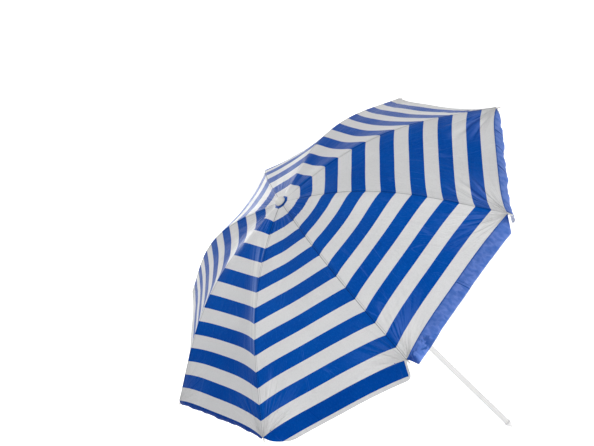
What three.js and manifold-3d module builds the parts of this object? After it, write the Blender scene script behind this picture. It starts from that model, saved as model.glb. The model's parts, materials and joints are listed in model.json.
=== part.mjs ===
// Beach umbrella with an eight-rib striped canopy on a two-part telescopic pole.
//
// Frame: millimetres, +Z up along the pole. The origin is the point of the
// ground spike. The umbrella stands open and upright. Rib 1 points to -Y and
// the ribs follow every 45 degrees, anticlockwise seen from above.
//
// Body groups (see the joints in the record):
//   lower pole  - ground spike, outer tube, clamp collar, clamp nut
//   clamp knob  - knob and its screw
//   inner pole  - inner tube, end plug, lower half of the tilt knuckle
//   mast        - upper half of the knuckle, pin, mast tube, crown, ring, washer, cap
//   tilt button, runner catch, runner
//   rib n       - rib, rib tip, canopy segment (half a panel on each side)
//   stretcher n - stretcher and its rivet

import * as THREE from 'three';
import * as BufferGeometryUtils from 'three/addons/utils/BufferGeometryUtils.js';
import Module from 'manifold-3d';

const wasm = await Module();
wasm.setup();

// ---------------------------------------------------------------- dimensions
const APEX = 1501;            // height of the fabric at the pole axis
const RIBS = 8;
const FIRST_RIB_DEG = 270;

// line of the fabric along a rib: radius and drop below the apex
const RIB_LINE = [
  [0, 0], [56, -3.1], [112.2, -7.9], [168.3, -13.5], [223.9, -21.6], [279.1, -32.2],
  [333.6, -46.0], [387.2, -63.1], [439.6, -83.6], [490.6, -107.3], [540.1, -133.9],
  [588.0, -163.1], [634.9, -194.4], [680.6, -227.0], [725.9, -260.6], [771.2, -294.1],
  [817.1, -326.4],
];
// radii at which the canopy and the ribs bend; the first is the hole at the middle
const ROWS = [6, 64, 112.2, 168.3, 223.9, 279.1, 333.6, 387.2, 439.6, 490.6, 540.1, 634.9, 725.9, 817.1];
const FABRIC = 1.0;           // canopy thickness
const SEAM_GAP = 0.3;         // space between neighbouring canopy segments
const VALANCE = 74;           // height of the hanging flap
const VALANCE_DEG = 72;       // its slope below the horizontal
const VALANCE_NOTCH = 11;     // half the gap between two flaps at a rib tip

// pole
const OUTER_R = 11, OUTER_WALL = 1.2;
const INNER_R = 9.5, INNER_WALL = 1.1;
const OUTER_BOTTOM = 42.3, OUTER_TOP = APEX - 874;
const INNER_BOTTOM = 100, INNER_TOP = APEX - 826;

// clamp collar
const COLLAR = [APEX - 888, APEX - 846];
const COLLAR_R = 16.5;
const SCREW_Z = APEX - 858;

// tilt knuckle
const PIN_Z = APEX - 803;
const KNUCKLE_R = 13.5;
const BUTTON_Z = APEX - 784;

// crown, runner and the fold
const RIB_PIVOT = [18, -15];          // radius and height below the apex
const RIB_DROP = 4.6;                 // rib centre below the fabric's middle
const ROD_R = 2.25;
const STRETCH_R = 1.9;
const RUNNER_PIVOT = [21, -290];      // open
const STRETCH_AT = [350, -61.8];      // pivot on the rib
const FOLD_DEG = 64;                  // rib turn, open to folded
const CATCH_Z = APEX - 327;

const MAST_BOTTOM = APEX - 776.7, MAST_TOP = APEX - 8;

// ------------------------------------------------------------------ materials
const mat = (color, roughness, metalness = 0) =>
  new THREE.MeshStandardMaterial({ color, roughness, metalness });
const WHITE_STEEL = mat(0xe8e8e4, 0.35, 0.1);
const WHITE_PLASTIC = mat(0xeeeeea, 0.45);
const GREY_PLASTIC = mat(0xd9dad8, 0.5);
const ZINC = mat(0xb9bcc0, 0.35, 0.9);
const CLOTH = mat(0x1c55b0, 0.6);
const CLOTH_2 = mat(0xdedfe4, 0.6);

// -------------------------------------------------------------------- helpers
const solid = (geometry) => {
  let g = geometry.clone();
  g.deleteAttribute('normal');
  g.deleteAttribute('uv');
  g = BufferGeometryUtils.mergeVertices(g, 1e-4);
  const m = new wasm.Mesh({
    numProp: 3,
    vertProperties: new Float32Array(g.attributes.position.array),
    triVerts: new Uint32Array(g.index.array),
  });
  m.merge();
  return new wasm.Manifold(m);
};
const geometryOf = (manifold) => {
  const m = manifold.getMesh();
  const g = new THREE.BufferGeometry();
  g.setAttribute('position', new THREE.BufferAttribute(new Float32Array(m.vertProperties), 3));
  g.setIndex(new THREE.BufferAttribute(new Uint32Array(m.triVerts), 1));
  g.computeVertexNormals();
  return g;
};
const join = (...parts) => parts.reduce((a, b) => a.add(b));
const cut = (a, ...tools) => tools.reduce((s, t) => s.subtract(t), a);

// turned part about Z; profile is [radius, z] pairs, wound so that faces point out
const turned = (profile, segments = 20) => {
  const pts = profile.map(([r, z]) => new THREE.Vector2(r, z));
  let area = 0;
  for (let i = 0; i < pts.length; i++) {
    const a = pts[i], b = pts[(i + 1) % pts.length];
    area += a.x * b.y - b.x * a.y;
  }
  if (area < 0) pts.reverse();
  // a solid profile starts and ends on the axis, a ring closes on itself
  const onAxis = (p) => p.x < 1e-6;
  if (pts.some(onAxis)) {
    let k = pts.findIndex((p, i) => onAxis(p) && onAxis(pts[(i + 1) % pts.length]));
    pts.push(...pts.splice(0, (k + 1) % pts.length));
  } else pts.push(pts[0].clone());
  const g = new THREE.LatheGeometry(pts, segments);
  g.rotateX(Math.PI / 2);
  return g;
};
const tube = (r, wall, z0, z1, segments = 20) =>
  turned([[r - wall, z0], [r, z0], [r, z1], [r - wall, z1]], segments);
const rod = (r, z0, z1, segments = 10) => {
  const g = new THREE.CylinderGeometry(r, r, z1 - z0, segments);
  g.rotateX(Math.PI / 2);
  g.translate(0, 0, (z0 + z1) / 2);
  return g;
};
const rodX = (r, x0, x1, z, segments = 10) => {
  const g = new THREE.CylinderGeometry(r, r, x1 - x0, segments);
  g.rotateZ(Math.PI / 2);
  g.translate((x0 + x1) / 2, 0, z);
  return g;
};
const rodY = (r, y0, y1, x, z, segments = 10) => {
  const g = new THREE.CylinderGeometry(r, r, y1 - y0, segments);
  g.translate(x, (y0 + y1) / 2, z);
  return g;
};
const block = (x0, x1, y0, y1, z0, z1) => {
  const g = new THREE.BoxGeometry(x1 - x0, y1 - y0, z1 - z0);
  g.translate((x0 + x1) / 2, (y0 + y1) / 2, (z0 + z1) / 2);
  return g;
};
// flat plate cut from an outline in the XZ plane, thick along Y about y = 0
const plateXZ = (outline, thick) => {
  const s = new THREE.Shape(outline.map(([x, z]) => new THREE.Vector2(x, z)));
  const g = new THREE.ExtrudeGeometry(s, { depth: thick, bevelEnabled: false, curveSegments: 8 });
  g.rotateX(Math.PI / 2);           // (x, y, z) -> (x, -z, y)
  g.translate(0, thick / 2, 0);
  return g;
};
// straight bar of round section between two points of the XZ plane
const barXZ = (a, b, r, segments = 8) => {
  const dx = b[0] - a[0], dz = b[1] - a[1], l = Math.hypot(dx, dz);
  const g = new THREE.CylinderGeometry(r, r, l, segments);
  g.rotateX(Math.PI / 2);
  g.translate(0, 0, l / 2);
  g.rotateY(Math.atan2(dx, dz));
  g.translate(a[0], 0, a[1]);
  return g;
};

const umbrella = new THREE.Group();
umbrella.name = 'beach_umbrella';
const add = (name, geometry, material, parent = umbrella) => {
  const m = new THREE.Mesh(geometry, material);
  m.name = name;
  parent.add(m);
  return m;
};

// ----------------------------------------------------------------- lower pole
// moulded spike: a cone with a shoulder, and a stub inside the tube
add('ground_spike', turned([
  [0, 0], [1.6, 0.6], [12.8, 34], [13.1, 36], [13.1, 42], [9.5, 42], [9.5, 70], [0, 72],
]), WHITE_PLASTIC);
add('lower_tube', tube(OUTER_R, OUTER_WALL, OUTER_BOTTOM, OUTER_TOP), WHITE_STEEL);

// clamp collar: grips the outer tube below and guides the inner tube above
{
  const [z0, z1] = COLLAR;
  let c = solid(turned([
    [OUTER_R + 0.3, z0], [COLLAR_R, z0], [COLLAR_R, z1 - 2], [COLLAR_R - 2, z1], [INNER_R + 0.4, z1], [INNER_R + 0.4, OUTER_TOP + 0.3], [OUTER_R + 0.3, OUTER_TOP + 0.3],
  ]));
  // boss for the screw, on the -X side
  const boss = cut(
    solid(rodX(7.5, -22, -12, SCREW_Z, 14)),
    solid(rod(INNER_R + 0.4, z0 - 1, z1 + 1, 20)),
  );
  c = join(c, boss);
  c = cut(c,
    solid(rodX(3.3, -30, -8, SCREW_Z, 10)),
    solid(block(-18.3, -14.7, -5.3, 5.3, SCREW_Z - 5.3, SCREW_Z + 12)),   // nut pocket, open at the top
  );
  add('clamp_collar', geometryOf(c), WHITE_PLASTIC);
  const nut = cut(
    solid(block(-18, -15, -5, 5, SCREW_Z - 5, SCREW_Z + 5)),
    solid(rodX(3.3, -20, -13, SCREW_Z, 10)),
  );
  add('clamp_nut', geometryOf(nut), ZINC);
}

// ----------------------------------------------------------------- clamp knob
add('clamp_screw', rodX(3, -27, -9.85, SCREW_Z, 10), ZINC);
{
  // lobed knob, bored for the screw
  const n = 30, outline = [];
  for (let i = 0; i < n; i++) {
    const a = (i / n) * 2 * Math.PI;
    const r = 12 + 2.2 * Math.cos(5 * a);
    outline.push(new THREE.Vector2(r * Math.cos(a), r * Math.sin(a)));
  }
  const g = new THREE.ExtrudeGeometry(new THREE.Shape(outline), { depth: 13, bevelEnabled: false });
  g.rotateY(-Math.PI / 2);                         // thickness runs to -X
  g.translate(-27, 0, SCREW_Z);
  const neck = rodX(6.5, -27.5, -22.6, SCREW_Z, 12);
  const k = cut(join(solid(g), solid(neck)), solid(rodX(3.3, -27.4, -20, SCREW_Z, 10)));
  add('clamp_knob', geometryOf(k), WHITE_PLASTIC);
}

// ----------------------------------------------------------------- inner pole
add('inner_tube', tube(INNER_R, INNER_WALL, INNER_BOTTOM, INNER_TOP), WHITE_STEEL);
add('inner_tube_plug', turned([
  [0, INNER_BOTTOM - 4], [9.4, INNER_BOTTOM - 3], [9.4, INNER_BOTTOM - 0.3],
  [8.1, INNER_BOTTOM - 0.3], [7.6, INNER_BOTTOM + 16], [0, INNER_BOTTOM + 16],
], 16), GREY_PLASTIC);
{
  // socket on the inner tube with one tongue
  let k = solid(turned([
    [INNER_R + 0.3, APEX - 842], [KNUCKLE_R, APEX - 842], [KNUCKLE_R, APEX - 820],
    [KNUCKLE_R - 1.5, APEX - 818.5], [0, APEX - 818.5], [0, INNER_TOP + 0.3], [INNER_R + 0.3, INNER_TOP + 0.3],
  ]));
  const tongue = join(
    solid(block(-4, 4, -9, 9, APEX - 820, PIN_Z)),
    solid(rodX(9, -4, 4, PIN_Z, 16)),
  );
  k = cut(join(k, tongue), solid(rodX(3.3, -6, 6, PIN_Z, 10)));
  add('tilt_knuckle_lower', geometryOf(k), WHITE_PLASTIC);
}

// ----------------------------------------------------------------------- mast
{
  // socket under the mast tube with two ears
  let k = solid(turned([
    [0, APEX - 790], [KNUCKLE_R, APEX - 789], [KNUCKLE_R, APEX - 761.5],
    [KNUCKLE_R - 1.5, APEX - 760], [INNER_R + 0.3, APEX - 760], [INNER_R + 0.3, MAST_BOTTOM - 0.3], [0, MAST_BOTTOM - 0.3],
  ]));
  for (const s of [-1, 1]) {
    const [x0, x1] = s > 0 ? [4.4, 10.4] : [-10.4, -4.4];
    k = join(k,
      solid(block(x0, x1, -10, 10, PIN_Z, APEX - 789)),
      solid(rodX(10, x0, x1, PIN_Z, 16)));
  }
  // the ears stay within the socket's round outline at the top
  k = cut(k,
    solid(rodX(3.3, -14, 14, PIN_Z, 10)),
    solid(rodY(3.2, 2, 20, 0, BUTTON_Z, 10)));       // hole for the button
  add('tilt_knuckle_upper', geometryOf(k), WHITE_PLASTIC);
  const pin = join(
    solid(rodX(3, -11.5, 11.5, PIN_Z, 10)),
    solid(rodX(4.8, 10.8, 12.6, PIN_Z, 10)),
    solid(rodX(4.8, -12.6, -10.8, PIN_Z, 10)));
  add('tilt_pin', geometryOf(pin), ZINC);
}
{
  // mast tube with the window of the runner catch on the +Y side
  const t = cut(
    solid(tube(INNER_R, INNER_WALL, MAST_BOTTOM, MAST_TOP)),
    solid(block(-2.9, 2.9, 4, 14, CATCH_Z - 13, CATCH_Z + 6.2)));
  add('mast_tube', geometryOf(t), WHITE_STEEL);
}
{
  // leaf inside the mast that pushes the catch out
  const pts = [];
  for (const [y, z] of [[-7.6, -24], [-7.2, -6], [-3, 0], [1.4, 1.6]]) pts.push([y, z]);
  const outline = [...pts.map(([y, z]) => [y, z]), ...pts.slice().reverse().map(([y, z]) => [y - 0.25, z + 0.75])];
  const g = plateXZ(outline.map(([y, z]) => [y, z]), 4);
  g.rotateZ(Math.PI / 2);                          // x -> y
  g.translate(0, 0, CATCH_Z - 3);
  add('catch_spring', g, ZINC);
}
{
  // crown: hub on the mast with a slotted flange and a groove for the ring wire
  let c = solid(turned([
    [INNER_R + 0.3, APEX - 46], [12.8, APEX - 46], [12.8, APEX - 24],
    [24, APEX - 24], [24, APEX - 7.5], [13, APEX - 3.5], [0, APEX - 3.5],
    [0, MAST_TOP + 0.3], [INNER_R + 0.3, MAST_TOP + 0.3],
  ], 24));
  const cuts = [
    solid(rod(3.4, APEX - 12, APEX, 12)),
    solid(turned([[16.4, APEX - 16.6], [26, APEX - 16.6], [26, APEX - 13.4], [16.4, APEX - 13.4]], 24)),
  ];
  for (let i = 0; i < RIBS; i++) {
    const g = block(13.6, 30, -1.85, 1.85, APEX - 26, APEX + 2);
    g.rotateZ(THREE.MathUtils.degToRad(FIRST_RIB_DEG + 45 * i));
    cuts.push(solid(g));
  }
  add('crown', geometryOf(cut(c, ...cuts)), WHITE_PLASTIC);
  const ring = new THREE.TorusGeometry(RIB_PIVOT[0], 1.0, 5, 24);
  ring.translate(0, 0, APEX + RIB_PIVOT[1]);
  add('crown_ring_wire', ring, ZINC);
}
add('canopy_washer', turned([
  [3.4, APEX + 0.8], [15, APEX + 0.8], [15, APEX + 1.9], [3.4, APEX + 1.9],
], 16), WHITE_PLASTIC);
// domed top cap with a stem through washer, fabric and crown into the mast
add('top_cap', turned([
  [0, APEX - 14], [3, APEX - 13], [3, APEX + 2.2], [19.6, APEX + 2.2],
  [20, APEX + 6], [19, APEX + 10.5], [15.4, APEX + 15.8], [9.5, APEX + 19.4], [0, APEX + 20.8],
], 20), WHITE_PLASTIC);

// ---------------------------------------------------------------- tilt button
{
  const b = join(
    solid(rodY(2.9, 6, 16.5, 0, BUTTON_Z, 10)),
    solid(rodY(5, 16, 19.5, 0, BUTTON_Z, 12)));
  add('tilt_button', geometryOf(b), GREY_PLASTIC);
}

// --------------------------------------------------------------- runner catch
{
  // pawl, stored pressed in level with the mast; its top edge is square
  const outline = [[3.2, -11], [5.6, -11], [9.2, -3], [9.2, 5.5], [3.2, 5.5]];
  const g = plateXZ(outline, 5);
  g.rotateZ(Math.PI / 2);
  g.translate(0, 0, CATCH_Z);
  add('runner_catch', g, ZINC);
}

// --------------------------------------------------------------------- runner
{
  const [pr, pz] = RUNNER_PIVOT;
  const z = APEX + pz;
  let r = solid(turned([
    [INNER_R + 0.5, z - 30], [13.6, z - 30], [13.6, z - 9],
    [28, z - 9], [28, z + 9], [13.6, z + 9], [13.6, z + 14], [INNER_R + 0.5, z + 14],
  ], 24));
  const cuts = [];
  for (let i = 0; i < RIBS; i++) {
    const a = THREE.MathUtils.degToRad(FIRST_RIB_DEG + 45 * i);
    const slot = block(14.6, 34, -2.3, 2.3, z - 12, z + 18);
    slot.rotateZ(a);
    cuts.push(solid(slot));
    // notch for the stretcher's cross pin, open below so that the pin can leave it
    const notch = plateXZ([
      [pr - 1.7, z], [pr + 1.2, z - 11], [pr + 8.6, z - 11], [pr + 1.7, z], [pr + 1.2, z + 1.2], [pr, z + 1.7], [pr - 1.2, z + 1.2],
    ], 9.3);
    notch.rotateZ(a);
    cuts.push(solid(notch));
  }
  add('runner', geometryOf(cut(r, ...cuts)), WHITE_PLASTIC);
}

// ------------------------------------------------------- ribs, tips, fabric, stretchers
const lineAt = (r) => {
  for (let i = 1; i < RIB_LINE.length; i++) {
    const [r0, z0] = RIB_LINE[i - 1], [r1, z1] = RIB_LINE[i];
    if (r <= r1 || i === RIB_LINE.length - 1) return z0 + ((z1 - z0) * (r - r0)) / (r1 - r0);
  }
  return 0;
};
const slopeAt = (r) => {
  const h = 30;
  const a = Math.max(0, r - h), b = Math.min(RIB_LINE[RIB_LINE.length - 1][0], r + h);
  return Math.atan2(lineAt(b) - lineAt(a), b - a);
};
const below = (r, drop) => {
  const s = slopeAt(r);
  return [r + drop * Math.sin(s), lineAt(r) - drop * Math.cos(s)];
};

// centre line of a rib, from the crown to the tip
const ribLine = [[28, -10.8]];
for (const r of ROWS.slice(1, -1)) ribLine.push(below(r, RIB_DROP));
const tipSlope = slopeAt(817.1);
const hemPoint = below(817.1, RIB_DROP);
const along = (d) => [hemPoint[0] + d * Math.cos(tipSlope), hemPoint[1] + d * Math.sin(tipSlope)];
ribLine.push(along(0), along(5));

const hexagon = (r, n = 6) => {
  const s = new THREE.Shape();
  for (let i = 0; i < n; i++) {
    const a = (i / n) * 2 * Math.PI + Math.PI / n;
    if (i) s.lineTo(r * Math.cos(a), r * Math.sin(a));
    else s.moveTo(r * Math.cos(a), r * Math.sin(a));
  }
  s.closePath();
  return s;
};
const sweep = (points, r, sides) => {
  const path = new THREE.CurvePath();
  for (let i = 1; i < points.length; i++) {
    path.add(new THREE.LineCurve3(
      new THREE.Vector3(points[i - 1][0], 0, points[i - 1][1]),
      new THREE.Vector3(points[i][0], 0, points[i][1])));
  }
  // even steps along a smooth curve through the points
  const smooth = new THREE.CatmullRomCurve3(points.map(([x, z]) => new THREE.Vector3(x, 0, z)), false, 'catmullrom', 0.5);
  return new THREE.ExtrudeGeometry(hexagon(r, sides), {
    steps: 16, bevelEnabled: false, extrudePath: smooth,
  });
};

const disc = (x, z, r, thick, segments = 8) => rodY(r, -thick / 2, thick / 2, x, z, segments);

const ribGeometry = (() => {
  const [px, pz] = RIB_PIVOT, [qx, qz] = STRETCH_AT;
  let g = solid(sweep(ribLine, ROD_R, 6));
  // flattened inner end with the eye for the ring wire
  const tab = plateXZ([[px, pz - 3.3], [px, pz + 3.3], [34, -8.0], [34, -12.6]], 3);
  g = join(g, solid(tab), solid(disc(px, pz, 3.3, 3)));
  // lug for the stretcher
  const s = slopeAt(qx);
  const dir = [Math.cos(s), Math.sin(s)], up = [-Math.sin(s), Math.cos(s)];
  const at = (u, v) => [qx + dir[0] * u + up[0] * v, qz + dir[1] * u + up[1] * v];
  const lug = plateXZ([at(-3.4, 0), at(-5.5, 8), at(5.5, 8), at(3.4, 0)], 2.2);
  g = join(g, solid(lug), solid(disc(qx, qz, 3.4, 2.2)));
  g = cut(g, solid(disc(px, pz, 1.5, 6, 8)), solid(disc(qx, qz, 1.55, 6, 8)));
  return geometryOf(g);
})();

const tipGeometry = (() => {
  // cup over the rib's end, with a rounded nose
  const g = turned([
    [2.6, -9], [3.2, -9], [3.2, 4], [2.5, 16.8], [0, 19], [0, 6], [2.6, 5.6],
  ], 8);
  g.rotateY(Math.PI / 2 - tipSlope);
  g.translate(hemPoint[0], 0, hemPoint[1]);
  return g;
})();

const stretcherGeometry = (() => {
  const [qx, qz] = STRETCH_AT, [sx, sz] = RUNNER_PIVOT;
  const l = Math.hypot(qx - sx, qz - sz);
  const u = [(sx - qx) / l, (sz - qz) / l];        // from the rib to the runner
  const w = [-u[1], u[0]];
  const at = (a, b) => [qx + u[0] * a + w[0] * b, qz + u[1] * a + w[1] * b];
  let g = solid(barXZ(at(9, 0), at(l - 2, 0), STRETCH_R, 6));
  // fork at the rib
  const ear = plateXZ([at(0, -3.3), at(0, 3.3), at(11, 3), at(11, -3)], 5.6);
  g = join(g, solid(ear), solid(disc(qx, qz, 3.3, 5.6)));
  const gap = plateXZ([at(-5, -5), at(-5, 5), at(5.4, 5), at(5.4, -5)], 3.0);
  g = cut(g, solid(gap), solid(disc(qx, qz, 1.55, 10, 8)));
  // eye and cross pin at the runner
  g = join(g, solid(disc(sx, sz, 3.3, 3.8)), solid(disc(sx, sz, 1.2, 8.5, 8)));
  return geometryOf(g);
})();
const rivetGeometry = (() => {
  const [qx, qz] = STRETCH_AT;
  const g = turned([
    [0, -4.1], [2.2, -4.1], [2.2, -3.1], [1.2, -3.1], [1.2, 3.1], [2.2, 3.1], [2.2, 4.1], [0, 4.1],
  ], 6);
  g.rotateX(Math.PI / 2);
  g.translate(qx, 0, qz);
  return g;
})();

// canopy segment: half a panel on each side of a rib, with its two half flaps
const segmentGeometry = (() => {
  const half = Math.PI / RIBS;
  const rows = ROWS;
  const hemR = rows[rows.length - 1];
  const halfChord = hemR * Math.sin(half);
  const n = VALANCE_NOTCH / halfChord;
  const cols = [-1, -n, 0, n, 1];
  // point on the straight line from the rib to the middle of the panel
  const point = (r, f, drop = 0, out = 0) => {
    const a = Math.sign(f) * half, k = Math.abs(f);
    const z = lineAt(r);
    // the chord between ribs: its middle lies at r cos(half) in the direction a
    const mx = r * Math.cos(half) * Math.cos(half), my = Math.sign(f) * r * Math.cos(half) * Math.sin(half);
    let x = r + (mx - r) * k, y = my * k;
    // flap: down and out, along the panel's own middle direction
    x += out * Math.cos(a); y += out * Math.sin(a);
    // room for the neighbour
    if (k === 1) { x += Math.sin(half) * SEAM_GAP / 2; y -= Math.sign(f) * Math.cos(half) * SEAM_GAP / 2; }
    return new THREE.Vector3(x, y, z - drop);
  };
  const g = THREE.MathUtils.degToRad(VALANCE_DEG);
  const grid = [];
  for (const r of rows) grid.push(cols.map((f) => point(r, f)));
  for (const t of [1]) {
    grid.push(cols.map((f) => point(hemR, f, t * VALANCE * Math.sin(g), t * VALANCE * Math.cos(g))));
  }
  const R = grid.length, C = cols.length;
  const present = (i, j) => i >= 0 && j >= 0 && i < R - 1 && j < C - 1 && !(i >= rows.length - 1 && (j === 1 || j === 2));
  // normals by area-weighted cells
  const normal = grid.map((row) => row.map(() => new THREE.Vector3()));
  const used = grid.map((row) => row.map(() => false));
  for (let i = 0; i < R - 1; i++) for (let j = 0; j < C - 1; j++) {
    if (!present(i, j)) continue;
    const a = grid[i][j], b = grid[i][j + 1], c = grid[i + 1][j + 1], d = grid[i + 1][j];
    const nn = new THREE.Vector3().crossVectors(
      new THREE.Vector3().subVectors(c, a), new THREE.Vector3().subVectors(b, d)).normalize();
    for (const [p, q] of [[i, j], [i, j + 1], [i + 1, j + 1], [i + 1, j]]) {
      normal[p][q].add(nn);
      used[p][q] = true;
    }
  }
  if (normal[2][2].z < 0) normal.forEach((row) => row.forEach((v) => v.negate()));
  const pos = [], id = { top: {}, low: {} };
  for (let i = 0; i < R; i++) for (let j = 0; j < C; j++) {
    if (!used[i][j]) continue;
    const nn = normal[i][j].clone().normalize();
    // on a seam the thickness runs along the seam's own plane
    if (j === 0 || j === C - 1) {
      const t = new THREE.Vector3(-Math.sin(Math.sign(cols[j]) * half), Math.cos(half), 0);
      nn.sub(t.multiplyScalar(nn.dot(t))).normalize();
    }
    for (const [side, s] of [['top', 0.5], ['low', -0.5]]) {
      id[side][i * C + j] = pos.length / 3;
      const v = grid[i][j].clone().add(nn.clone().multiplyScalar(s * FABRIC));
      pos.push(v.x, v.y, v.z);
    }
  }
  const tri = [];
  const T = (i, j) => id.top[i * C + j], L = (i, j) => id.low[i * C + j];
  const quad = (a, b, c, d) => tri.push(a, b, c, a, c, d);
  for (let i = 0; i < R - 1; i++) for (let j = 0; j < C - 1; j++) {
    if (!present(i, j)) continue;
    quad(T(i, j), T(i + 1, j), T(i + 1, j + 1), T(i, j + 1));
    quad(L(i, j), L(i, j + 1), L(i + 1, j + 1), L(i + 1, j));
    if (!present(i - 1, j)) quad(T(i, j), T(i, j + 1), L(i, j + 1), L(i, j));
    if (!present(i + 1, j)) quad(T(i + 1, j + 1), T(i + 1, j), L(i + 1, j), L(i + 1, j + 1));
    if (!present(i, j - 1)) quad(T(i + 1, j), T(i, j), L(i, j), L(i + 1, j));
    if (!present(i, j + 1)) quad(T(i, j + 1), T(i + 1, j + 1), L(i + 1, j + 1), L(i, j + 1));
  }
  const geo = new THREE.BufferGeometry();
  geo.setAttribute('position', new THREE.BufferAttribute(new Float32Array(pos), 3));
  geo.setIndex(tri);
  geo.computeVertexNormals();
  return geo;
})();

for (let i = 0; i < RIBS; i++) {
  const arm = new THREE.Group();
  arm.position.z = APEX;
  arm.rotation.z = THREE.MathUtils.degToRad(FIRST_RIB_DEG + 45 * i);
  umbrella.add(arm);
  add(`rib_${i + 1}`, ribGeometry, WHITE_STEEL, arm);
  add(`rib_tip_${i + 1}`, tipGeometry, WHITE_PLASTIC, arm);
  add(`canopy_segment_${i + 1}`, segmentGeometry, i % 2 ? CLOTH : CLOTH_2, arm);
  add(`stretcher_${i + 1}`, stretcherGeometry, WHITE_STEEL, arm);
  add(`stretcher_rivet_${i + 1}`, rivetGeometry, ZINC, arm);
}

export default umbrella;
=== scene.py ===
"""Beach umbrella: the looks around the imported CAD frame."""
import json
import math

import bpy
import numpy as np
from mathutils import Matrix, Vector


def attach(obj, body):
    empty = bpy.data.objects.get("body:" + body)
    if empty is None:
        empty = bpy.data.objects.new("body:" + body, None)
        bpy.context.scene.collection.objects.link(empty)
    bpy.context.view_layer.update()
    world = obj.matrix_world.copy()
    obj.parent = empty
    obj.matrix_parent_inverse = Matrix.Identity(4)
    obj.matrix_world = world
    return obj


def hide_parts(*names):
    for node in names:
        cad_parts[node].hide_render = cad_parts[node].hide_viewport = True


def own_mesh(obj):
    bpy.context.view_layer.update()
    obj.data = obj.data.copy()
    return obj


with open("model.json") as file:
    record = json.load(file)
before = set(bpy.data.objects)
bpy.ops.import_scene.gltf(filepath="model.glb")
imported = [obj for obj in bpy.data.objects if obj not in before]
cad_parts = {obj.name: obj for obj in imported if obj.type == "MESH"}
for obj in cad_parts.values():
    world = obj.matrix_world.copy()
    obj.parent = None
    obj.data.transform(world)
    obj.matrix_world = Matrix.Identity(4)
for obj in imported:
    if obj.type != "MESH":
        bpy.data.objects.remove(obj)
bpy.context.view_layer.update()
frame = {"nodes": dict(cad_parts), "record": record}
MM = 0.001
APEX = 1.501
RIBS = 8
HALF = math.pi / RIBS
FIRST = math.radians(270)
scene = bpy.context.scene

# ------------------------------------------------------------------ camera
CAM_AXES = np.array([[0.7046385958, 0.3258037562, -0.6303462237],
                     [-0.1913535973, -0.7681898624, -0.6109567383],
                     [-0.6832775791, 0.5511227157, -0.4789525052]])
CAM_AT = (4.1516223, -3.3664629, 4.3084743)
cam_data = bpy.data.cameras.new("camera")
cam_data.sensor_width = 36.0
cam_data.sensor_fit = "HORIZONTAL"
cam_data.lens = 1643.032 * 36.0 / 594.0
cam_data.clip_end = 100.0
camera = bpy.data.objects.new("camera", cam_data)
scene.collection.objects.link(camera)
m = Matrix.Identity(4)
for r in range(3):
    m[r][0] = CAM_AXES[0][r]
    m[r][1] = -CAM_AXES[1][r]
    m[r][2] = -CAM_AXES[2][r]
    m[r][3] = CAM_AT[r]
camera.matrix_world = m
scene.camera = camera


# --------------------------------------------------------------- node helpers
def material(name, color, rough=0.5, metal=0.0, **sockets):
    mat = bpy.data.materials.new(name)
    mat.use_nodes = True
    nt = mat.node_tree
    b = nt.nodes["Principled BSDF"]
    b.inputs["Base Color"].default_value = (*color, 1)
    b.inputs["Roughness"].default_value = rough
    b.inputs["Metallic"].default_value = metal
    for k, v in sockets.items():
        b.inputs[k.replace("_", " ")].default_value = v
    return mat, nt, b


def node(nt, kind, **values):
    n = nt.nodes.new(kind)
    for k, v in values.items():
        if k.startswith("i_"):
            n.inputs[k[2:].replace("_", " ")].default_value = v
        else:
            setattr(n, k, v)
    return n


def math_node(nt, op, a, b=None, c=None, clamp=False):
    n = nt.nodes.new("ShaderNodeMath")
    n.operation = op
    n.use_clamp = clamp
    for i, v in enumerate((a, b, c)):
        if v is None:
            continue
        if isinstance(v, (int, float)):
            n.inputs[i].default_value = v
        else:
            nt.links.new(v, n.inputs[i])
    return n.outputs[0]


def mix_color(nt, fac, a, b, blend="MIX"):
    n = nt.nodes.new("ShaderNodeMix")
    n.data_type = "RGBA"
    n.blend_type = blend
    n.clamp_factor = True
    for sock, v in ((n.inputs[0], fac), (n.inputs[6], a), (n.inputs[7], b)):
        if isinstance(v, (int, float)):
            sock.default_value = v
        elif isinstance(v, (tuple, list)):
            sock.default_value = (*v, 1) if len(v) == 3 else v
        else:
            nt.links.new(v, sock)
    return n.outputs[2]


def ramp(nt, value, lo, hi, a=0.0, b=1.0):
    n = nt.nodes.new("ShaderNodeMapRange")
    n.interpolation_type = "SMOOTHSTEP"
    n.inputs["From Min"].default_value = lo
    n.inputs["From Max"].default_value = hi
    n.inputs["To Min"].default_value = a
    n.inputs["To Max"].default_value = b
    nt.links.new(value, n.inputs["Value"])
    return n.outputs[0]


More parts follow.
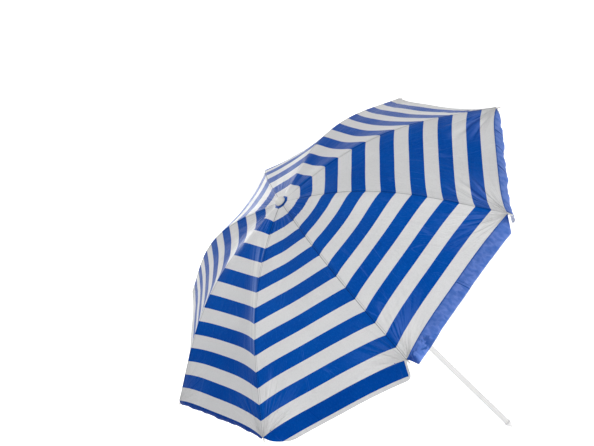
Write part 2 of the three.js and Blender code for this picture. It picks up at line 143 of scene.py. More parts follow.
def pull_group():
    """One pull of the cloth from a rib tip: a painted highlight along its ridge and painted shade in the low beside it,
    with a small bump on the ridge.
    """
    g = bpy.data.node_groups.new("pull", "ShaderNodeTree")
    names = ("seed", "u", "ang", "dist", "wander", "height", "gore", "side", "a0", "wide", "d0", "d1", "much")
    for title in ("color", "painted_highlight_and_thread", "painted_shade"):
        g.interface.new_socket(name=title, in_out="INPUT", socket_type="NodeSocketColor")
    for title in names:
        g.interface.new_socket(name=title, in_out="INPUT", socket_type="NodeSocketFloat")
    g.interface.new_socket(name="color", in_out="OUTPUT", socket_type="NodeSocketColor")
    g.interface.new_socket(name="height", in_out="OUTPUT", socket_type="NodeSocketFloat")
    src, dst = g.nodes.new("NodeGroupInput"), g.nodes.new("NodeGroupOutput")
    i = {sock.name: sock for sock in src.outputs}
    M = lambda op, a, b=None, c=None, clamp=False: math_node(g, op, a, b, c, clamp)
    on = M("LESS_THAN", M("ABSOLUTE", M("SUBTRACT", i["seed"], M("MULTIPLY", i["gore"], 3.7))), 0.5)
    on = M("MULTIPLY", on, M("GREATER_THAN", M("MULTIPLY", i["u"], i["side"]), 0.0))
    x = M("SUBTRACT", M("MULTIPLY_ADD", i["wander"], 0.16, i["ang"]), M("ADD", i["a0"], 0.08))
    on = M("MULTIPLY", on, M("DIVIDE", M("SUBTRACT", i["dist"], i["d0"]), 0.05, clamp=True))
    on = M("MULTIPLY", on, M("DIVIDE", M("SUBTRACT", i["d1"], i["dist"]), 0.07, clamp=True))
    lit = M("MULTIPLY", on, M("SUBTRACT", 1.0, M("DIVIDE", M("ABSOLUTE", x), i["wide"]), clamp=True))
    off = M("ABSOLUTE", M("SUBTRACT", x, M("MULTIPLY", i["wide"], 1.25)))
    low = M("MULTIPLY", on, M("SUBTRACT", 1.0, M("DIVIDE", off, M("MULTIPLY", i["wide"], 0.6)), clamp=True))
    c = mix_color(g, M("MULTIPLY", M("MULTIPLY", low, 0.8), i["much"]), i["color"], i["painted_shade"])
    c = mix_color(g, M("MULTIPLY", lit, i["much"]), c, i["painted_highlight_and_thread"])
    g.links.new(c, dst.inputs["color"])
    g.links.new(M("MULTIPLY_ADD", M("MULTIPLY", lit, 0.0010), i["much"], i["height"]), dst.inputs["height"])
    return g


PULL_GROUP = pull_group()

# ------------------------------------------------------------------ materials
def cloth(name, color, dark, mottled, line, painted_highlight_and_thread, painted_shade, tint=(1, 1, 1), rough=0.42, spec=0.24, thready=0.2):
    """Coated woven polyester. UV "cloth" is in metres, across from the nearest rib and along the gore;
    UV "gore" is a seed for each gore and the distance from its middle."""
    mat, nt, b = material(name, color, rough)
    L = nt.links.new
    b.inputs["Specular IOR Level"].default_value = spec
    b.inputs["Specular Tint"].default_value = (*tint, 1)

    def parts(title):
        uv = node(nt, "ShaderNodeUVMap", uv_map=title)
        sep = nt.nodes.new("ShaderNodeSeparateXYZ")
        L(uv.outputs[0], sep.inputs[0])
        return sep.outputs[0], sep.outputs[1]

    def noise(x, y, z, scale=1.0, detail=2.0, rough_=0.5, distortion=0.0):
        c = nt.nodes.new("ShaderNodeCombineXYZ")
        for sock, v in zip(c.inputs, (x, y, z)):
            if isinstance(v, (int, float)):
                sock.default_value = v
            else:
                L(v, sock)
        n = node(nt, "ShaderNodeTexNoise", i_Scale=scale, i_Detail=detail, i_Roughness=rough_, i_Distortion=distortion)
        L(c.outputs[0], n.inputs["Vector"])
        return n.outputs[0]

    M = lambda op, x, y=None, z=None: math_node(nt, op, x, y, z)
    u, v = parts("cloth")
    seed, centre = parts("gore")
    au = M("ABSOLUTE", u)
    sd = M("ADD", seed, M("MULTIPLY", M("SIGN", u), 0.7))
    geo = nt.nodes.new("ShaderNodeTexCoord")
    # relief: ridged folds fanning from the rib tip
    w = M("MAXIMUM", M("SUBTRACT", HEM_AT, v), 0.0)
    ang = M("ARCTAN2", au, M("ADD", w, 0.014))
    dist = M("SQRT", M("ADD", M("MULTIPLY", au, au), M("MULTIPLY", w, w)))
    fan = noise(M("MULTIPLY", ang, 7.0), M("MULTIPLY", dist, 6.0), sd, detail=3.0, rough_=0.45, distortion=0.25)
    fan = M("SUBTRACT", 1.0, M("ABSOLUTE", M("MULTIPLY", M("SUBTRACT", fan, 0.5), 5.0)))
    fan_raw = fan
    fan = M("MULTIPLY", fan, M("MULTIPLY", ramp(nt, dist, 0.015, 0.30, 1.0, 0.0), ramp(nt, ang, 0.02, 0.22)))
    height = M("MULTIPLY", fan, 0.0030)
    # fine radial gathers at the crown
    turn = M("DIVIDE", u, M("MAXIMUM", v, 0.01))
    pleat = noise(M("MULTIPLY", turn, 22.0), M("MULTIPLY", v, 7.0), sd, detail=2.0, distortion=0.15)
    gather = M("MULTIPLY", pleat, M("MULTIPLY", ramp(nt, v, 0.045, 0.085), ramp(nt, v, 0.125, 0.21, 1.0, 0.0)))
    height = M("MULTIPLY_ADD", gather, 0.0022, height)
    # mask of the painted highlight on the crown gathers
    pleat = M("MULTIPLY", ramp(nt, pleat, 0.56, 0.66), M("MULTIPLY", ramp(nt, v, 0.06, 0.085), ramp(nt, v, 0.13, 0.16, 1.0, 0.0)))
    # creases left by packing, along and across the gore
    across = noise(M("MULTIPLY", au, 3.0), M("MULTIPLY", v, 30.0), sd, detail=1.0, distortion=0.6)
    across = ramp(nt, M("ABSOLUTE", M("SUBTRACT", across, 0.62)), 0.0, 0.03, 1.0, 0.0)
    height = M("MULTIPLY_ADD", across, 0.00022, height)
    along = noise(M("MULTIPLY", au, 26.0), M("MULTIPLY", v, 3.2), sd, detail=1.0, distortion=0.5)
    along = ramp(nt, M("ABSOLUTE", M("SUBTRACT", along, 0.60)), 0.0, 0.03, 1.0, 0.0)
    height = M("MULTIPLY_ADD", M("MULTIPLY", along, ramp(nt, v, 0.2, 0.4)), 0.00028, height)
    long = noise(M("MULTIPLY", au, 17.0), M("MULTIPLY", v, 2.4), sd, detail=2.0, rough_=0.4, distortion=0.7)
    long_on = ramp(nt, M("ABSOLUTE", M("SUBTRACT", long, 0.53)), 0.0, 0.022, 1.0, 0.0)
    long_on = M("MULTIPLY", long_on, M("MULTIPLY", ramp(nt, v, 0.25, 0.5), ramp(nt, noise(M("MULTIPLY", au, 3.0), M("MULTIPLY", v, 7.0), sd), 0.42, 0.6)))
    height = M("MULTIPLY_ADD", ramp(nt, long, 0.40, 0.66), 0.0011, height)
    # crumple and weave
    crumple = noise(M("MULTIPLY", u, 38.0), M("MULTIPLY", v, 22.0), seed, detail=4.0, rough_=0.55)
    height = M("MULTIPLY_ADD", crumple, 0.0013, height)
    flap = ramp(nt, M("SUBTRACT", v, HEM_AT), 0.0, 0.006)
    ruffle = noise(M("MULTIPLY", u, 60.0), M("MULTIPLY", v, 34.0), seed, detail=3.0, rough_=0.5, distortion=0.4)
    height = M("MULTIPLY_ADD", M("MULTIPLY", ruffle, flap), 0.0040, height)
    weave = M("MULTIPLY", M("SINE", M("MULTIPLY", u, 2 * math.pi / 0.0011)), M("SINE", M("MULTIPLY", v, 2 * math.pi / 0.0011)))
    height = M("MULTIPLY_ADD", weave, 0.00003, height)
    # colour
    n1 = node(nt, "ShaderNodeTexNoise", i_Scale=7.0, i_Detail=3.0, i_Roughness=0.55)
    L(geo.outputs["Object"], n1.inputs["Vector"])
    n2 = node(nt, "ShaderNodeTexNoise", i_Scale=210.0, i_Detail=2.0)
    L(geo.outputs["Object"], n2.inputs["Vector"])
    c = mix_color(nt, ramp(nt, n1.outputs[0], 0.35, 0.7), color, mottled)
    c = mix_color(nt, M("MULTIPLY", ramp(nt, n2.outputs[0], 0.42, 0.72), 0.16), c, dark)
    # threads, then painted highlight and painted shade on the folds, a painted highlight on the long creases and crown
    # gathers, and painted shade in the creases across
    thread = noise(M("MULTIPLY", u, 210.0), M("MULTIPLY", v, 90.0), seed, detail=3.0, rough_=0.7)
    c = mix_color(nt, M("MULTIPLY", ramp(nt, thread, 0.48, 0.72), thready), c, dark)
    c = mix_color(nt, M("MULTIPLY", ramp(nt, thread, 0.50, 0.28), 0.6 * thready), c, painted_highlight_and_thread)
    creases = []
    onfold = M("MULTIPLY", ramp(nt, dist, 0.04, 0.26, 1.0, 0.0), ramp(nt, ang, 0.06, 0.3))
    bold = M("LESS_THAN", M("ABSOLUTE", M("SUBTRACT", seed, 5.5)), 3.0)
    onfold = M("MULTIPLY", onfold, M("MULTIPLY", M("SUBTRACT", 1.0, flap), M("MULTIPLY_ADD", bold, 0.55, 0.45)))
    c = mix_color(nt, M("MULTIPLY", M("MULTIPLY", ramp(nt, fan_raw, 0.25, 0.95), onfold), 0.55), c, painted_highlight_and_thread)
    c = mix_color(nt, M("MULTIPLY", M("MULTIPLY", ramp(nt, fan_raw, 0.1, -0.9), onfold), 0.60), c, painted_shade)
    c = mix_color(nt, M("MULTIPLY", long_on, 0.22), c, painted_highlight_and_thread)
    c = mix_color(nt, M("MULTIPLY", across, 0.10), c, painted_shade)
    c = mix_color(nt, M("MULTIPLY", pleat, 0.55), c, painted_highlight_and_thread)
    # the wide pulls at the tips of ribs 3 and 4 as painted highlight and painted shade, and a painted sheen beside rib
    # 1
    wander = noise(M("MULTIPLY", ang, 1.5), M("MULTIPLY", dist, 14.0), sd)
    for gore, side, a0, wide, d0, d1, much in (
        (2, 1, 0.62, 0.085, 0.05, 0.22, 0.90), (2, 1, 0.90, 0.065, 0.05, 0.20, 0.80), (2, 1, 0.36, 0.05, 0.05, 0.24, 0.60),
        (2, -1, 0.66, 0.11, 0.05, 0.24, 0.85), (2, -1, 1.02, 0.07, 0.06, 0.22, 0.65), (2, -1, 0.34, 0.045, 0.05, 0.20, 0.60),
        (1, -1, 0.55, 0.05, 0.03, 0.18, 0.35), (1, 1, 0.50, 0.045, 0.03, 0.16, 0.45), (0, 1, 0.30, 0.04, 0.03, 0.22, 0.40),
        (0, -1, 0.55, 0.04, 0.03, 0.14, 0.22), (7, -1, 0.25, 0.035, 0.03, 0.22, 0.30), (7, 1, 0.7, 0.04, 0.03, 0.12, 0.25),
    ):
        q = node(nt, "ShaderNodeGroup", node_tree=PULL_GROUP)
        for title, value in (("seed", seed), ("u", u), ("ang", ang), ("dist", dist), ("wander", wander), ("height", height), ("color", c)):
            L(value, q.inputs[title])
        for title, value in (("gore", gore), ("side", side), ("a0", a0), ("wide", wide), ("d0", d0), ("d1", d1), ("much", much)):
            q.inputs[title].default_value = value
        q.inputs["painted_highlight_and_thread"].default_value = (*painted_highlight_and_thread, 1)
        q.inputs["painted_shade"].default_value = (*painted_shade, 1)
        c, height = q.outputs["color"], q.outputs["height"]
    beside = M("MULTIPLY", M("LESS_THAN", M("ABSOLUTE", M("SUBTRACT", seed, 25.9)), 0.5), M("LESS_THAN", u, 0.0))
    beside = M("MULTIPLY", beside, M("MULTIPLY", ramp(nt, au, 0.006, 0.095, 1.0, 0.0), ramp(nt, noise(M("MULTIPLY", u, 60.0), M("MULTIPLY", v, 3.0), 1.0), 0.36, 0.58)))
    beside = M("MULTIPLY", beside, M("MULTIPLY", ramp(nt, v, 0.12, 0.22), ramp(nt, v, 0.50, 0.66, 1.0, 0.0)))
    c = mix_color(nt, M("MULTIPLY", beside, 0.95), c, tuple(min(q + d, 0.9) for q, d in zip(painted_highlight_and_thread, (0.055, 0.06, 0.0))))
    # creases ironed across the flaps, drawn as lines of painted shade
    along_hem = M("SUBTRACT", centre, 2.0)
    t_flap = M("SUBTRACT", v, HEM_AT)
    for gore, at, lean, thin, much in ((1, 0.013, 0.11, 0.0016, 0.9), (1, 0.023, 0.11, 0.0012, 0.5), (2, -0.05, -0.5, 0.0040, 0.9),
                                       (2, 0.063, -0.3, 0.0030, 0.7), (2, 0.158, -0.2, 0.0030, 0.8), (0, -0.12, 0.4, 0.0014, 0.4)):
        on = M("MULTIPLY", flap, M("LESS_THAN", M("ABSOLUTE", M("SUBTRACT", seed, 3.7 * gore)), 0.5))
        x = M("SUBTRACT", M("SUBTRACT", along_hem, M("MULTIPLY", t_flap, lean)), at)
        pressed = M("MULTIPLY", on, ramp(nt, M("ABSOLUTE", x), 0.3 * thin, 1.6 * thin, 1.0, 0.0))
        creases.append((pressed, much))
    up_turned = M("MULTIPLY", flap, M("LESS_THAN", M("ABSOLUTE", M("SUBTRACT", seed, 3.7)), 0.5))
    side_on = M("MULTIPLY", flap, M("LESS_THAN", M("ABSOLUTE", M("SUBTRACT", seed, 7.4)), 0.5))
    # painted sheen on the flaps of gores k=1 and k=2, stronger on their ruffles
    c = mix_color(nt, M("MULTIPLY", up_turned, ramp(nt, ruffle, 0.36, 0.66, 0.50, 1.0)), c, tuple(min(q + d, 0.9) for q, d in zip(painted_highlight_and_thread, (0.060, 0.045, 0.0))))
    c = mix_color(nt, M("MULTIPLY", side_on, ramp(nt, ruffle, 0.36, 0.62, 0.55, 1.0)), c, tuple(min(q + d, 0.9) for q, d in zip(painted_highlight_and_thread, (0.055, 0.055, 0.0))))
    # painted shade at the ends of those two flaps
    at_end = ramp(nt, M("ABSOLUTE", along_hem), 0.280, 0.300, 0.0, 0.8)
    c = mix_color(nt, M("MULTIPLY", M("MAXIMUM", side_on, up_turned), at_end), c, painted_shade)
    # darker patches on the flap of gore k=1, strongest towards its rib k+1 end
    darker_patch = noise(M("MULTIPLY", along_hem, 22.0), M("MULTIPLY", t_flap, 26.0), seed, detail=3.0, rough_=0.55, distortion=0.5)
    darker_patch = M("MULTIPLY", ramp(nt, darker_patch, 0.50, 0.60), M("MULTIPLY", up_turned, ramp(nt, along_hem, -0.24, -0.12, 1.0, 0.12)))
    c = mix_color(nt, M("MULTIPLY", darker_patch, 0.75), c, painted_shade)
    shaded = M("MULTIPLY", flap, M("LESS_THAN", M("ABSOLUTE", M("SUBTRACT", seed, 25.9)), 0.5))
    c = mix_color(nt, M("MULTIPLY", shaded, 0.75), c, painted_shade)
    shaded = M("MULTIPLY", flap, M("LESS_THAN", M("ABSOLUTE", seed), 0.5))
    c = mix_color(nt, M("MULTIPLY", shaded, 0.30), c, painted_shade)
    # painted shade along the flap creases
    for pressed, much in creases:
        c = mix_color(nt, M("MULTIPLY", pressed, much), c, painted_shade)
    # painted shade on the lower part of gore k=7, where its spec is also lowered
    steep_shade_mask = M("MULTIPLY", M("LESS_THAN", M("ABSOLUTE", M("SUBTRACT", seed, 25.9)), 0.5), ramp(nt, v, 0.36, 0.66))
    c = mix_color(nt, M("MULTIPLY", steep_shade_mask, 0.22), c, painted_shade)
    # seam: the join at the rib, the folded edge 7 mm beside it and its row of stitches, drawn as dark lines that are
    # partly the seam's dark join and partly painted shade of the seam's ridge
    join = ramp(nt, M("ABSOLUTE", M("ADD", u, 0.0003)), 0.0006, 0.0019, 1.0, 0.0)
    fold = ramp(nt, M("ABSOLUTE", M("SUBTRACT", u, 0.0071)), 0.0003, 0.0013, 1.0, 0.0)
    fold = M("MULTIPLY", fold, ramp(nt, M("SUBTRACT", HEM_AT, v), -0.001, 0.001))
    row = ramp(nt, M("ABSOLUTE", M("SUBTRACT", u, 0.0056)), 0.0002, 0.0006, 1.0, 0.0)
    dash = ramp(nt, M("PINGPONG", v, 0.0022), 0.0005, 0.0011)
    row = M("MULTIPLY", row, dash)
    rib_no = M("ADD", M("MULTIPLY", seed, 1 / 3.7), M("LESS_THAN", u, 0.0))
    faint = M("SUBTRACT", 1.0, M("MULTIPLY", M("LESS_THAN", M("ABSOLUTE", M("SUBTRACT", rib_no, 2.5)), 0.8), 0.7))
    near_crown = M("MULTIPLY", ramp(nt, v, 0.02, 0.09), faint)
    c = mix_color(nt, M("MULTIPLY", M("MULTIPLY", join, faint), 0.80), c, line)
    c = mix_color(nt, M("MULTIPLY", M("MULTIPLY", fold, near_crown), 0.38), c, line)
    c = mix_color(nt, M("MULTIPLY", M("MULTIPLY", row, near_crown), 0.4), c, line)
    hemmed = ramp(nt, M("ABSOLUTE", M("SUBTRACT", v, HEM_AT)), 0.0002, 0.0012, 1.0, 0.0)
    c = mix_color(nt, M("MULTIPLY", hemmed, 0.07), c, line)
    L(c, b.inputs["Base Color"])
    # the hanging flap shows less coating, except on the gore turned up to the light
    other = M("GREATER_THAN", M("ABSOLUTE", M("SUBTRACT", seed, 3.7)), 0.5)
    dull = M("MULTIPLY", flap, other)
    L(ramp(nt, n1.outputs[0], 0.3, 0.75, rough - 0.04, rough + 0.06), b.inputs["Roughness"])
    shiny = M("MULTIPLY", M("MULTIPLY", flap, M("SUBTRACT", 1.0, other)), M("SUBTRACT", 1.0, at_end))
    dull = M("MAXIMUM", dull, steep_shade_mask)
    L(M("MULTIPLY_ADD", shiny, 0.75, M("MULTIPLY_ADD", dull, -0.85 * spec, spec)), b.inputs["Specular IOR Level"])
    height = M("MULTIPLY_ADD", row, 0.0002, height)
    bump = node(nt, "ShaderNodeBump", i_Strength=1.0, i_Distance=1.0)
    L(height, bump.inputs["Height"])
    L(bump.outputs[0], b.inputs["Normal"])
    return mat


HEM_AT = 0.8435
# after the name: cloth colour, darker tone, mottled tone, seam-line colour (dark join, partly painted shade), painted
# highlight colour (also the paler threads), painted shade colour
BLUE = cloth("cloth_blue", (0.0003, 0.073, 0.405), (0.0003, 0.036, 0.23), (0.0005, 0.084, 0.435), (0.0004, 0.010, 0.07),
             (0.085, 0.185, 0.62), (0.0003, 0.028, 0.22), tint=(0.08, 0.42, 1.0), spec=0.13, thready=0.22)
WHITE = cloth("cloth_white", (0.735, 0.738, 0.748), (0.52, 0.52, 0.54), (0.762, 0.764, 0.775), (0.22, 0.22, 0.24),
              (0.87, 0.87, 0.875), (0.52, 0.53, 0.56), thready=0.10)





def painted(name, color, rough, scale=60.0, bump=0.0004, metal=0.0, spec=0.5, streak=False, worn=None):
    mat, nt, b = material(name, color, rough, metal)
    b.inputs["Specular IOR Level"].default_value = spec
    L = nt.links.new
    geo = nt.nodes.new("ShaderNodeTexCoord")
    mp = nt.nodes.new("ShaderNodeMapping")
    mp.inputs["Scale"].default_value = (1, 1, 0.12) if streak else (1, 1, 1)
    L(geo.outputs["Object"], mp.inputs[0])
    n = node(nt, "ShaderNodeTexNoise", i_Scale=scale, i_Detail=4.0, i_Roughness=0.6)
    L(mp.outputs[0], n.inputs["Vector"])
    low = tuple(x * 0.9 for x in color)
    c = mix_color(nt, ramp(nt, n.outputs[0], 0.35, 0.75), color, low)
    if worn:
        n2 = node(nt, "ShaderNodeTexNoise", i_Scale=900.0, i_Detail=2.0)
        L(geo.outputs["Object"], n2.inputs["Vector"])
        c = mix_color(nt, math_node(nt, "MULTIPLY", ramp(nt, n2.outputs[0], 0.66, 0.75), 0.5), c, worn)
    L(c, b.inputs["Base Color"])
    L(ramp(nt, n.outputs[0], 0.3, 0.8, rough - 0.05, rough + 0.1), b.inputs["Roughness"])
    bp = node(nt, "ShaderNodeBump", i_Strength=0.25, i_Distance=bump)
    L(n.outputs[0], bp.inputs["Height"])
    L(bp.outputs[0], b.inputs["Normal"])
    return mat


STEEL = painted("powder_coated_steel", (0.725, 0.716, 0.690), 0.30, 220.0, 0.0002, streak=True)
PLASTIC = painted("white_plastic", (0.765, 0.755, 0.732), 0.36, 90.0, 0.0003)
GREY = painted("grey_plastic", (0.52, 0.53, 0.54), 0.5, 140.0, 0.0003)
ZINC = painted("zinc_plated_steel", (0.56, 0.57, 0.59), 0.30, 300.0, 0.0002, metal=0.9)


# -------------------------------------------------------------- mesh helpers
def mesh_object(name, verts, faces, mats, index=None, uvs=None, sharp=None, body=None):
    me = bpy.data.meshes.new(name)
    me.from_pydata([tuple(map(float, v)) for v in verts], [], [tuple(int(i) for i in f) for f in faces])
    for mt in mats:
        me.materials.append(mt)
    if index is not None:
        me.polygons.foreach_set("material_index", np.asarray(index, np.int32))
    me.polygons.foreach_set("use_smooth", np.ones(len(me.polygons), bool))
    if uvs is not None:
        layer = me.uv_layers.new(name="cloth")
        loops = np.zeros(len(me.loops), np.int32)
        me.loops.foreach_get("vertex_index", loops)
        layer.data.foreach_set("uv", np.asarray(uvs, np.float32)[loops].reshape(-1))
    me.update()
    if sharp is not None:
        set_sharp(me, sharp)
    ob = bpy.data.objects.new(name, me)
    scene.collection.objects.link(ob)
    if body:
        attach(ob, body)
    return ob


def set_sharp(me, degrees):
    me.set_sharp_from_angle(angle=math.radians(degrees))


def lathe(profile, n=64, at=(0, 0)):
    """Turned mesh about Z; profile of (r, z), which starts and ends on the axis or closes on itself."""
    axis = profile[0][0] < 1e-9 and profile[-1][0] < 1e-9
    verts, faces, rings = [], [], []
    for r, z in profile:
        if r < 1e-9:
            rings.append([len(verts)])
            verts.append((at[0], at[1], z))
        else:
            rings.append(list(range(len(verts), len(verts) + n)))
            for i in range(n):
                a = 2 * math.pi * i / n
                verts.append((at[0] + r * math.cos(a), at[1] + r * math.sin(a), z))
    pairs = list(zip(rings, rings[1:])) + ([] if axis else [(rings[-1], rings[0])])
    for a, b in pairs:
        for i in range(n):
            j = (i + 1) % n
            if len(a) == 1 and len(b) == 1:
                break
            if len(a) == 1:
                faces.append((a[0], b[j], b[i]))
            elif len(b) == 1:
                faces.append((a[i], a[j], b[0]))
            else:
                faces.append((a[i], a[j], b[j], b[i]))
    return verts, faces


def sweep(points, radius, n=12, caps=True):
    """Round tube along points; radius is a number or one per point."""
    P = np.asarray(points, float)
    R = np.full(len(P), radius) if np.isscalar(radius) else np.asarray(radius, float)
    T = np.gradient(P, axis=0)
    T /= np.linalg.norm(T, axis=1)[:, None]
    ref = np.array([0.0, 0.0, 1.0]) if abs(T[0][2]) < 0.9 else np.array([1.0, 0, 0])
    N = np.cross(T[0], ref); N /= np.linalg.norm(N)
    verts, faces = [], []
    for k in range(len(P)):
        N = N - T[k] * (N @ T[k]); N /= np.linalg.norm(N)
        B = np.cross(T[k], N)
        for i in range(n):
            a = 2 * math.pi * i / n
            verts.append(P[k] + R[k] * (math.cos(a) * N + math.sin(a) * B))
    for k in range(len(P) - 1):
        for i in range(n):
            j = (i + 1) % n
            faces.append((k * n + i, k * n + j, (k + 1) * n + j, (k + 1) * n + i))
    if caps:
        faces.append(tuple(range(n - 1, -1, -1)))
        faces.append(tuple(range((len(P) - 1) * n, len(P) * n)))
    return verts, faces


def merge(*parts):
    verts, faces, tags = [], [], []
    for tag, (v, f) in enumerate(parts):
        k = len(verts)
        verts += [tuple(x) for x in v]
        faces += [tuple(i + k for i in q) for q in f]
        tags += [tag] * len(f)
    return verts, faces, tags


def moved(part, mat4):
    v, f = part
    return [tuple(mat4 @ Vector(x)) for x in v], f


# --------------------------------------------------------- the canopy's shape
LINE = 0.900                                   # cloth along a rib, middle to hem
PHI = (0.06618, -0.12671, 2.55302, -1.89654)   # slope along the rib, radians
_s = np.linspace(0, 1, 4001)
_phi = PHI[0] + PHI[1] * _s + PHI[2] * _s ** 2 + PHI[3] * _s ** 3
_cum = lambda y: np.concatenate([[0], np.cumsum((y[1:] + y[:-1]) / 2) * (_s[1] - _s[0])])
_r = LINE * _cum(np.cos(_phi))
_z = -LINE * _cum(np.sin(_phi))
_v = LINE * _cum(np.sqrt(1 - (np.cos(_phi) * math.sin(HALF)) ** 2))
V1, STRIPE = 0.0828, 0.05433                   # first stripe edge, stripe width
CENTRE = 0.0285                                # edge of the small blue middle
HEM = float(_v[-1])
EDGES = [CENTRE] + [V1 + STRIPE * k for k in range(14)] + [HEM]
s_of_v = lambda v: np.interp(v, _v, _s)
rz = lambda s: (np.interp(s, _s, _r), np.interp(s, _s, _z))
phi_at = lambda s: np.interp(s, _s, _phi)
HOLE_V = 0.0062

# Cloth pulled tight along the ribs and slack between them: the stripes arc
# towards the middle by PULL at the hem.
PULL, PULL_S, PULL_U = 0.0215, 3.03, 4.1
# Rise of each gore over its straight chords, in mm. Gore k lies between ribs
# k+1 and k+2. Rows are powers 1..5 of s, columns are powers 0..4 of u.
RISE = {
    0: ((-1.9, -8.1, 37.1, 25.6, -10.9), (-144.9, 34.7, -34.4, -13.4, 35.1), (290.3, -27.4, -14.3, -38.8, 34.6), (-142.1, -35.2, -64.3, -22.8, -18.8), (-24.5, 36.9, 40.5, 31.2, -11.9)),
    1: ((8.3, 7.8, 41.5, 8.9, 58.9), (-120.4, -14.9, 5.8, -17.9, 24.0), (213.0, -7.8, -97.2, -16.5, -62.1), (-89.1, 8.7, -88.1, 2.2, -63.7), (-28.2, -2.3, 116.3, 14.0, 38.2)),
    2: ((-61.8, 20.8, -30.0, -21.7, 29.9), (271.8, -118.5, 120.2, 32.6, 16.9), (-132.8, 136.9, -35.7, 86.0, -68.2), (-410.8, 102.2, -107.9, 27.0, -69.1), (345.8, -133.0, 68.2, -95.6, 53.1)),
    3: ((63.2, 9.6, 94.8, 17.4, 68.3), (-396.6, -52.5, -212.7, -47.7, -109.0), (468.3, 43.6, 77.0, -10.8, 19.0), (35.6, 12.4, 60.2, 8.2, 28.5), (-182.9, -4.9, -22.5, 30.1, -1.2)),
    4: ((-0.6, 0.0, 1.3, -0.0, -0.6), (-41.6, -0.0, 4.2, 0.0, 1.1), (-6.5, 0.0, 3.9, -0.0, 0.6), (5.0, 0.0, 1.3, 0.0, -0.3), (-1.3, -0.0, -1.7, 0.0, -0.9)),
    5: ((-23.5, -0.0, 5.6, 0.0, 0.0), (-30.8, 0.0, 1.5, -0.0, 0.1), (15.6, -0.0, 2.4, 0.0, 0.2), (4.5, -0.0, -0.6, 0.0, -0.4), (-5.8, 0.0, -1.0, -0.0, 0.1)),
    6: ((-66.0, -0.0, 10.1, 0.0, 1.3), (66.0, 0.0, -0.9, -0.0, -1.8), (-24.4, -0.0, -7.9, 0.0, -1.8), (1.5, 0.0, -0.1, 0.0, 1.3), (9.5, -0.0, 1.6, -0.0, 1.2)),
    7: ((238.3, 21.5, 98.7, 17.1, 10.9), (-929.9, -294.5, -255.5, -84.6, -52.7), (370.8, 357.8, 102.0, 139.1, 81.1), (1083.8, 182.6, 191.8, 42.7, 70.6), (-751.5, -280.8, -135.0, -136.1, -89.0)),
}
rng = np.random.RandomState(7)
PH = rng.uniform(0, 2 * math.pi, (8, 24))
AM = rng.uniform(0.6, 1.25, (8, 24))


def smooth(x, a, b):
    t = np.clip((x - a) / (b - a), 0, 1)
    return t * t * (3 - 2 * t)


def rise(k, s, u):
    c = RISE[k]
    h = 0
    for i, row in enumerate(c):
        for j, q in enumerate(row):
            h = h + q * s ** (i + 1) * u ** j
    return 0.001 * h * (1 - u * u)


def gore_height(k, s, u):
    """Height of the cloth of gore k over the straight chord, along the outward normal."""
    half = np.maximum(rz(s)[0] * math.sin(HALF), 1e-4)
    w = (1 - np.abs(u)) * half                           # distance from the nearer rib
    d = s * LINE
    h = rise(k, s, u) * smooth(d, 0.018, 0.055)           # held flat under the cap
    edge = 1 - np.exp(-w / 0.016)                          # nothing moves on the rib itself
    # gathers round the crown
    a = u * HALF
    g = (np.sin(a * 52 + PH[k, 0]) * AM[k, 0] + 0.7 * np.sin(a * 83 + PH[k, 1]) * AM[k, 1] + 0.5 * np.sin(a * 31 + PH[k, 2]))
    h = h + 0.0006 * g * edge * smooth(d, 0.02, 0.07) * (1 - smooth(d, 0.11, 0.24))
    # pulls that fan out of the rib tips
    for side in (-1, 1):
        lat = (1 - side * u) * half
        up = (1 - s) * LINE
        ang = np.arctan2(lat, up + 0.010)
        dist = np.hypot(lat, up)
        f = (np.sin(ang * 13 + PH[k, 4 + side]) * AM[k, 5] + 0.8 * np.sin(ang * 23 + PH[k, 8 + side]) + 0.4 * np.sin(ang * 41 + PH[k, 9 + side]))
        h = h + TUG[k] * f * edge * smooth(dist, 0.010, 0.05) * np.exp(-dist / 0.085) * np.sin(np.clip(ang, 0, 1.5) * 2.0)
    # long soft waves along the ribs and in the field
    h = h + 0.0010 * edge * s * np.sin(u * 7.5 + PH[k, 10] + 2.2 * s) * AM[k, 10]
    h = h + 0.0008 * edge * np.sin(d * 21 + PH[k, 11]) * np.sin(u * 4.1 + PH[k, 12]) * (1 - np.abs(u))
    # the cloth turns over the rib in a small round
    h = h + 0.0012 * np.exp(-w / 0.012) * (1 - np.exp(-w / 0.003)) * smooth(d, 0.1, 0.3)
    return h


TUG = (0.0024, 0.0024, 0.0048, 0.0022, 0.0020, 0.0020, 0.0020, 0.0016)


def gore_point(k, s, u):
    """Point of the middle of the cloth: gore k, s along the ribs, u from -1 at rib k+1 to 1 at rib k+2."""
    s, u = np.asarray(s, float), np.asarray(u, float)
    h = gore_height(k, s, u)
    s = s - PULL / LINE * np.maximum(s, 0) ** PULL_S * (1 - np.abs(u) ** PULL_U)
    r, z = rz(s)
    mid = FIRST + HALF * (2 * k + 1)
    a, b = r * math.cos(HALF), r * math.sin(HALF) * u
    ph = phi_at(s)
    slope = np.arctan2(np.sin(ph), np.cos(ph) * math.cos(HALF))
    out, up = a + h * np.sin(slope), z + h * np.cos(slope)
    x = out * math.cos(mid) - b * math.sin(mid)
    y = out * math.sin(mid) + b * math.cos(mid)
    return np.stack([x, y, APEX + up], -1)


# lateral steps from the rib: fixed near it, shared out further on
NEAR = np.array([0, 0.0010, 0.0022, 0.0036, 0.0052, 0.0066, 0.0074, 0.0090, 0.013, 0.019, 0.027])
NEAR_F = np.array([0, 0.03, 0.06, 0.10, 0.145, 0.185, 0.21, 0.26, 0.32, 0.38, 0.45])
FAR = 27


def lateral(half):
    near = np.minimum(NEAR, NEAR_F * half)
    rest = near[-1] + (half - near[-1]) * (np.arange(1, FAR + 1) / FAR)
    return np.concatenate([near, rest])


